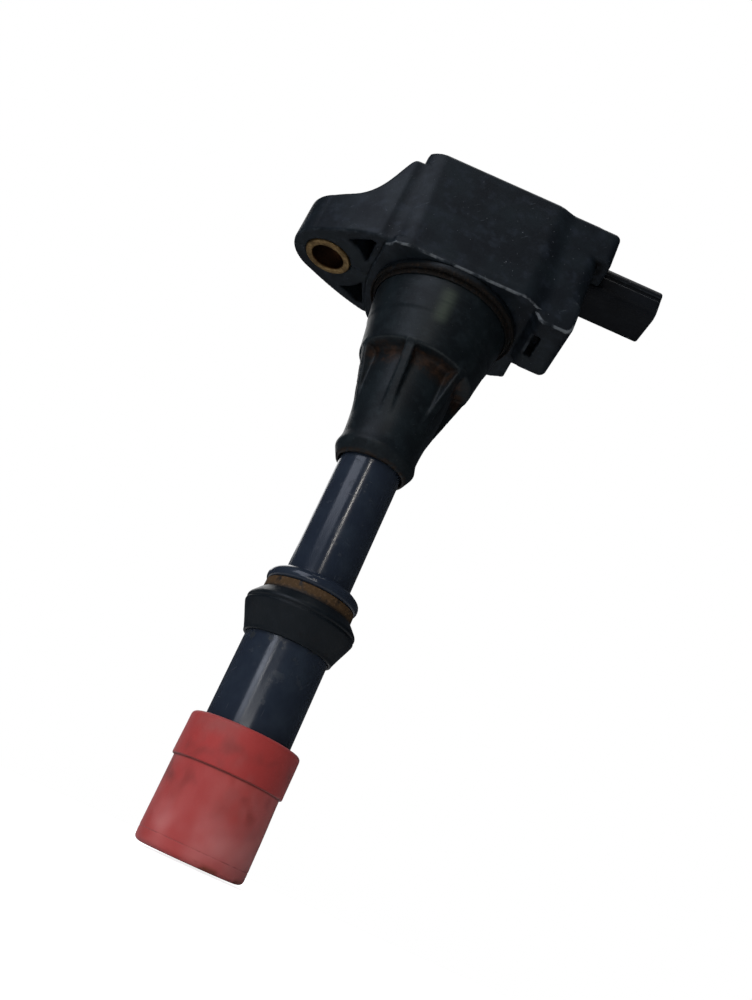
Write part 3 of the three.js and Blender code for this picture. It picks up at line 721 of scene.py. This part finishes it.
pin = {"thick": 0.8, "taperLength": 1.2, "taper": 0.22, "edge": 0.12, "pitch": 0.16}
for number in (1, 2, 3):
    pinLow, pinHigh = reach(f"terminal_pin_{number}")

    def pinDistance(x, y, z):
        # an upright leg and a blade, with the blade's end tapered to a lead-in
        bladeLow = pinHigh[2] - pin["thick"]
        taper = np.maximum(x - pinHigh[0] + pin["taperLength"], 0) * pin["taper"]
        blade = rounded(between(x, pinLow[0], pinHigh[0]), between(y, pinLow[1], pinHigh[1]) + taper,
                        between(z, bladeLow, pinHigh[2]) + taper, edge=pin["edge"])
        leg = rounded(between(x, pinLow[0], pinLow[0] + pin["thick"]), between(y, pinLow[1], pinHigh[1]),
                      between(z, pinLow[2], pinHigh[2]), edge=pin["edge"])
        return np.minimum(blade, leg)

    addPiece(f"plugBlade{number}", *skin(pinDistance, pinLow, pinHigh, pin["pitch"]), tinnedBrass,
             "tinned_brass", [f"terminal_pin_{number}"])

tower = {"ribs": 6, "firstRib": -104.0, "ribWidth": 2.0, "ribLow": 90.2, "ribHigh": 105.6, "pitch": 0.4}
shoulderZ = 105.0
towerProfile = eased([
    (6.9, towerLow[2], 0.3), (7.45, towerLow[2], 0.3), (8.75, 83.1, 0.4), (8.2, 85.2, 0.6), (8.3, 87.6, 0.8),
    (8.6, 90.4, 1.5), (9.3, 96, 1.5), (9.6, shoulderZ - 0.7, 0.9), (12.8, shoulderZ, 0.5), (13.05, 107, 1.2),
    (13.9, 112.15, 0.1), (14.1, 112.45, 0.2), (14.75, 116.5, 0.6), (15.1, 119.4, 0.5), (15.1, 122.2, 0.3),
    (12.4, 122.2, 0), (12.4, 124.6, 0.3), (10.8, 124.6, 0.3), (10.8, 115, 0.8), (3, 111, 0.5), (3, 96, 0.5),
    (4.4, 94, 0.3), (4.4, 92, 0), (6.9, 92, 0),
], steps=4, spacing=99.0)
ribSide = np.array([[7.0, tower["ribLow"]], [8.45, tower["ribLow"]], [12.85, tower["ribHigh"]],
                    [7.0, tower["ribHigh"]]])


def towerDistance(x, y, z):
    # the turned body, melted with the ribs: triangles in height and radius, as wide as ribWidth, and
    # repeated round the axis by folding the angle into one pitch
    fromAxis = np.sqrt(x * x + y * y)
    body = outlineDistance(towerProfile, fromAxis, z)
    turn = np.arctan2(y, x) - math.radians(tower["firstRib"])
    pitch = 2 * np.pi / tower["ribs"]
    turn = np.mod(turn + pitch / 2, pitch) - pitch / 2
    across, out = fromAxis * np.sin(turn), fromAxis * np.cos(turn)
    rib = rounded(outlineDistance(ribSide, out, z), np.abs(across) - tower["ribWidth"] / 2, edge=0.25)
    return melt(body, rib, 0.5)


points, quads = skin(towerDistance, towerLow, towerHigh, tower["pitch"])
addPiece("ribbedTower", points, quads, towerPlastic, "tower_plastic", ["hv_tower"],
         marks=wearAndShadeMarks(towerDistance, points))

# The well seal: an outer lip and a lower inner lip, with a channel between them
wellLow, wellHigh = reach("plug_well_seal")
well = {"bore": 15.25, "segments": 200}
bore, outer, low, high = well["bore"], wellHigh[0], wellLow[2], wellHigh[2]
lips = eased([(bore, low - 0.7, 0.1), (bore + 0.2, low - 0.75, 0.1), (bore + 0.45, low + 0.5, 0.2),
              (bore + 0.75, low + 0.7, 0.1), (outer - 0.3, low + 0.05, 0.12), (outer, low + 0.4, 0.15),
              (outer, high, 0.2), (bore, high, 0.1)], spacing=0.5)
addPiece("wellSealRing", *turned(lips, well["segments"]), wellBlack, "seal_rubber", ["plug_well_seal"])

upperLow, upperHigh = reach("upper_tube")
tube = {"bore": 4.6, "segments": 160}
upperRadius, upperBore = upperHigh[0], tube["bore"]
wall = eased([(upperBore, upperLow[2], 0.3), (upperRadius, upperLow[2], 0.5),
              (upperRadius, upperHigh[2], 0.5), (upperBore, upperHigh[2], 0.3)], spacing=2.0)
addPiece("narrowTube", *turned(wall, tube["segments"]), phenolic, "tube_plastic", ["upper_tube"])

lowerLow, lowerHigh = reach("lower_tube")
bead = {"bore": 6.9, "radius": 8.3, "bottom": 51.3, "round": 0.9, "raise": 0.6}
beadRadius, beadTop = lowerHigh[0], lowerHigh[2] + bead["raise"]
wall = eased([(bead["bore"], lowerLow[2], 0.2), (bead["radius"], lowerLow[2], 0.3),
              (bead["radius"], bead["bottom"], 0.2),
              (beadRadius, bead["bottom"], bead["round"]), (beadRadius, beadTop - 1.1, bead["round"]),
              (bead["bore"] + 0.8, beadTop, 0.5), (bead["bore"], beadTop, 0.3)], spacing=2.0)
addPiece("wideTube", *turned(wall, tube["segments"]), phenolic, "tube_plastic", ["lower_tube"])

sealLow, sealHigh = reach("mid_seal")
seal = {"bore": 8.42, "ledge": 9.1, "grimeTop": 51.2, "segments": 200}
low, high, widest = sealLow[2], sealHigh[2], sealHigh[0]
belt = eased([
    (seal["bore"], low, 0.1), (seal["bore"] + 0.5, low, 0.15), (seal["bore"] + 0.65, low + 0.6, 0.25),
    (9.8, low + 2.4, 1.0), (10.65, low + 4.3, 0.8), (widest - 0.05, low + 5.3, 0.2),
    (widest, low + 5.6, 0.12), (widest - 0.25, low + 5.8, 0.08), (widest - 0.22, low + 6.0, 0.1),
    (widest - 0.02, low + 6.25, 0.15), (widest - 0.1, low + 6.8, 0.35), (9.35, high - 0.55, 0.3),
    (seal["ledge"], high - 0.5, 0.15), (seal["ledge"] - 0.05, seal["grimeTop"], 0.15),
    (seal["bore"], seal["grimeTop"], 0.1),
], spacing=0.6)
addPiece("tubeSeal", *turned(belt, seal["segments"]), sealBlack, "seal_rubber", ["mid_seal"])

bootLow, bootHigh = reach("spark_plug_boot")
boot = {"radius": 10.2, "collarFrom": 15.2, "top": 23.4, "skirtBore": 8.35, "bore": 5.4, "rim": 1.9,
        "seam": 2.4, "terminalBore": 6.6, "ledge": 8.7, "segments": 200}


def bootWander(angle, z):
    # soft rubber is never quite round: under 0.1 mm of slow waves round it and along it
    slow = 0.05 * np.sin(2 * angle + 0.7) + 0.025 * np.sin(5 * angle + z * 0.35)
    return slow + 0.02 * np.sin(3 * angle - z * 0.5)


radius, collar = boot["radius"] - 0.05, bootHigh[0] - 0.1
sleeve = eased([
    (boot["bore"] + 1.4, 0, 0.6), (radius, 0, boot["rim"] + 0.3), (radius, boot["seam"] - 0.1, 0.1),
    (radius - 0.05, boot["seam"], 0.05), (radius + 0.02, boot["seam"] + 0.15, 0.1),
    (radius, boot["collarFrom"] + 0.1, 0.15), (collar, boot["collarFrom"] + 0.15, 0.25),
    (collar, boot["top"], 0.9),
    (boot["skirtBore"], boot["top"], 0.3), (boot["skirtBore"], boot["ledge"], 0.2),
    (boot["terminalBore"], boot["ledge"], 0.2), (boot["terminalBore"], bootHigh[2], 0.3),
    (boot["bore"], bootHigh[2], 0.3), (boot["bore"], 1.8, 0.6),
], steps=7, spacing=0.8)
addPiece("redBoot", *turned(sleeve, boot["segments"], wander=bootWander), bootRed, "boot_silicone",
         ["spark_plug_boot"])

springLow, springHigh = reach("contact_spring")
spring = {"turns": 12, "wire": 0.4, "radius": 3.0, "closing": 0.35, "steps": 48, "round": 12}


def springSurface():
    # A helix of x = R cos 2 pi n t, y = R sin 2 pi n t, whose rise t + c (3t^2 - 2t^3 - t) is slower at both
    # ends, with a circle of the wire's radius carried along it and drawn in to a point at each end.
    t = np.linspace(0, 1, spring["turns"] * spring["steps"] + 1)
    low, high = springLow[2] + spring["wire"], springHigh[2] - spring["wire"]
    rise = t + spring["closing"] * (t ** 2 * (3 - 2 * t) - t)
    angle = 2 * np.pi * spring["turns"] * t
    line = np.stack([spring["radius"] * np.cos(angle), spring["radius"] * np.sin(angle),
                     low + (high - low) * rise], 1)
    ahead = np.gradient(line, axis=0)
    ahead /= np.linalg.norm(ahead, axis=1, keepdims=True)
    outward = np.stack([np.cos(angle), np.sin(angle), 0 * angle], 1)
    up = np.cross(outward, ahead)
    fromEnd = np.minimum(np.arange(len(t)), np.arange(len(t))[::-1])
    thick = spring["wire"] * np.minimum(1, np.sqrt(fromEnd / 2.0))
    around = np.linspace(0, 2 * np.pi, spring["round"], endpoint=False)
    ring = np.cos(around)[None, :, None] * outward[:, None] + np.sin(around)[None, :, None] * up[:, None]
    points = line[:, None] + ring * thick[:, None, None]
    return points.reshape(-1, 3), woven(len(t), spring["round"], closedRows=False)


wire = addPiece("contactSpringWire", *springSurface(), springWire, "spring_steel", ["contact_spring"])
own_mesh(wire)

tipLow, tipHigh = reach("contact_tip")
button = eased([(0, tipLow[2], 0), (1.2, tipLow[2], 0.3), (2.4, tipLow[2] + 0.1, 0.5),
                (tipHigh[0], tipLow[2] + 1.2, 0.5),
                (tipHigh[0], tipHigh[2], 0.3), (0, tipHigh[2], 0)], spacing=9.0)
addPiece("contactButton", *turned(button, 96), contactBrass, "contact_brass", ["contact_tip"],
         body="contact")

kept = {
    "igniter_module": moduleEpoxy, "heat_sink": brushedAluminium, "outer_core": coreSteel,
    "centre_core": coreSteel,
    "core_magnet": ferrite, "primary_bobbin": bobbinPlastic, "secondary_bobbin": bobbinPlastic,
    "primary_winding": copperTurns, "hv_link": contactBrass, "hv_terminal": contactBrass,
    "resistor_cap_upper": contactBrass, "resistor_cap_lower": contactBrass, "noise_resistor": firedCeramic,
}
kept.update({f"secondary_winding_{i}": copperTurns for i in range(1, 6)})
for node, material in kept.items():
    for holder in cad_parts[node].material_slots:
        holder.material = material
print("carried over:", len(kept), "packed pieces")

floorMaterial, tree, shader, place = newMaterial("matt painted board", {"Roughness": 0.9})
tone = patches(tree, place, 40.0, 0.3, 0.7)
tree.links.new(lay(tree, "#f4f3f1", [(tone, "#efeeec")]), shader.inputs["Base Color"])
glow = addNode(tree, "ShaderNodeEmission", {}, {"Color": "#ffffff", "Strength": 0.84})
seen = addNode(tree, "ShaderNodeLightPath").outputs["Is Camera Ray"]
lit = addNode(tree, "ShaderNodeMixShader", {}, {0: seen, 2: glow.outputs[0]})
upper = addNode(tree, "ShaderNodeAddShader", {}, {0: shader.outputs[0], 1: lit.outputs[0]})
under = addNode(tree, "ShaderNodeNewGeometry").outputs["Backfacing"]
# the underside is clear, so that the mouth can be seen from below
clear = addNode(tree, "ShaderNodeBsdfTransparent").outputs[0]
whole = addNode(tree, "ShaderNodeMixShader", {}, {0: under, 1: upper.outputs[0], 2: clear})
tree.links.new(whole.outputs[0], tree.nodes["Material Output"].inputs[0])
floorSize, floorDrop = 0.22, 0.0004
angle = np.linspace(0, 2 * np.pi, 96, endpoint=False)
disc = np.stack([floorSize * np.cos(angle), floorSize * np.sin(angle), 0 * angle - floorDrop], 1)
floorMesh = bpy.data.meshes.new("floor")
floorMesh.from_pydata(disc.tolist(), [], [list(range(len(disc)))])
floorMesh.materials.append(floorMaterial)
floor = bpy.data.objects.new("floor", floorMesh)
bpy.context.scene.collection.objects.link(floor)

world = bpy.data.worlds.new("studio")
bpy.context.scene.world = world
world.use_nodes = True
tree = world.node_tree
tree.nodes.clear()
dim = addNode(tree, "ShaderNodeBackground", {}, {"Color": "#a9b0bd", "Strength": 0.1})
white = addNode(tree, "ShaderNodeBackground", {}, {"Color": "#ffffff", "Strength": 1.0})
seen = addNode(tree, "ShaderNodeLightPath").outputs["Is Camera Ray"]
both = addNode(tree, "ShaderNodeMixShader", {}, {0: seen, 1: dim.outputs[0], 2: white.outputs[0]})
addNode(tree, "ShaderNodeOutputWorld", {}, {0: both.outputs[0]})

middle = np.array([0.003, 0.0, 0.075])


def addLight(name, azimuth, elevation, distance, size, power, colour):
    # azimuth from the front (-Y) towards +X, elevation above the horizon, both in degrees
    a, e = math.radians(azimuth), math.radians(elevation)
    toward = np.array([math.sin(a) * math.cos(e), -math.cos(a) * math.cos(e), math.sin(e)])
    data = bpy.data.lights.new(name, "AREA")
    data.shape = "RECTANGLE"
    data.size, data.size_y = size
    data.energy = power
    data.color = linear(colour)[:3]
    lamp = bpy.data.objects.new(name, data)
    bpy.context.scene.collection.objects.link(lamp)
    lamp.location = middle + toward * distance
    lamp.rotation_mode = "QUATERNION"
    lamp.rotation_quaternion = Vector(toward).to_track_quat("Z", "Y")


addLight("slim window", -7, 21, 0.9, (0.05, 0.12), 0.7, "#fff8f0")
addLight("low window", -36, 7.5, 0.9, (0.2, 0.1), 0.6, "#e9f0ff")
addLight("low slit", -26, 7, 0.9, (0.02, 0.1), 0.2, "#ffffff")
addLight("low soft box", -12, 1.5, 0.9, (0.4, 0.05), 0.9, "#ffffff")
addLight("left window", -46, 36, 1.0, (0.6, 0.6), 4.6, "#e8eeff")
addLight("top soft box", 0, 89, 1.3, (0.35, 0.35), 4.5, "#ffffff")
addLight("back soft box", -158, 32, 1.1, (0.6, 0.6), 2.2, "#ffffff")

camera = {"place": (0.00546, -0.17645, 0.00319), "climb": 22.229, "turn": -0.583, "roll": 24.491,
          "lens": 34.2}
climb, turn, roll = (math.radians(camera[k]) for k in ("climb", "turn", "roll"))
forward = np.array([math.sin(turn) * math.cos(climb), math.cos(turn) * math.cos(climb), math.sin(climb)])
level = np.array([math.cos(turn), -math.sin(turn), 0.0])
right = math.cos(roll) * level + math.sin(roll) * np.cross(level, forward)
lens = bpy.data.cameras.new("camera")
lens.sensor_width, lens.lens = 36.0, camera["lens"]
lens.clip_start, lens.clip_end = 0.005, 20.0
eye = bpy.data.objects.new("camera", lens)
bpy.context.scene.collection.objects.link(eye)
turnMatrix = np.eye(4)
turnMatrix[:3, :3] = np.stack([right, np.cross(right, forward), -forward], 1)
turnMatrix[:3, 3] = camera["place"]
eye.matrix_world = Matrix(turnMatrix.tolist())
bpy.context.scene.camera = eye
bpy.context.scene.view_settings.view_transform = "Standard"
print("floor, lights and camera placed")
